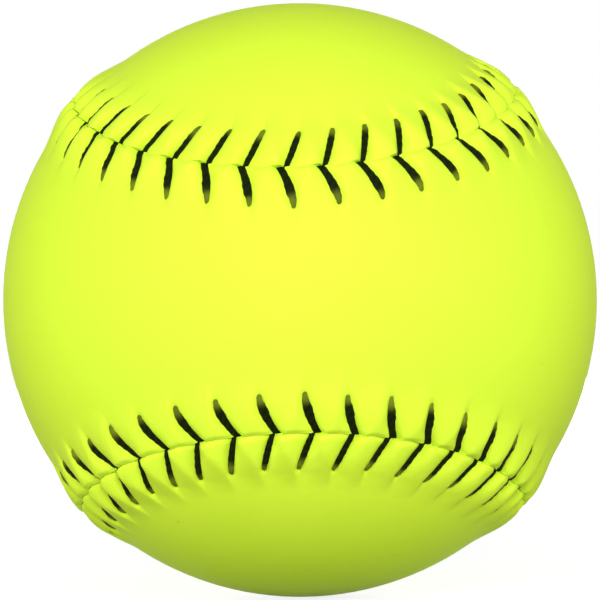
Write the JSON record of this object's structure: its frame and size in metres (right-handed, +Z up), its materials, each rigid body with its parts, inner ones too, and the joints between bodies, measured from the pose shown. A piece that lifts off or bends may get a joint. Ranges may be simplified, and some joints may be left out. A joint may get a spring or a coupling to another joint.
{
  "type": "softball",
  "caption": "Solid-core ball in a two-panel leather cover, laced with waxed thread along a raised figure-of-eight seam, for throwing, batting and catching.",
  "frame": {"origin": "centre of the ball", "axes": "+Z up; -Y faces out of the middle of the front panel's waist; +X and -X point out of the front panel's two lobes, +Z and -Z out of the rear panel's two lobes"},
  "size_m": [0.097, 0.097, 0.097],
  "materials": {
    "core_foam": "moulded polyurethane foam with a matt skin",
    "cement": "dried latex cement",
    "cover_leather": "optic yellow grained leather, matt",
    "waxed_thread": "black waxed cotton thread, satin"
  },
  "bodies": {
    "root": {"core": "core_foam", "cement_film": "cement", "cover_front": "cover_leather", "cover_rear": "cover_leather", "seam_thread": "waxed_thread"}
  },
  "joints": []
}
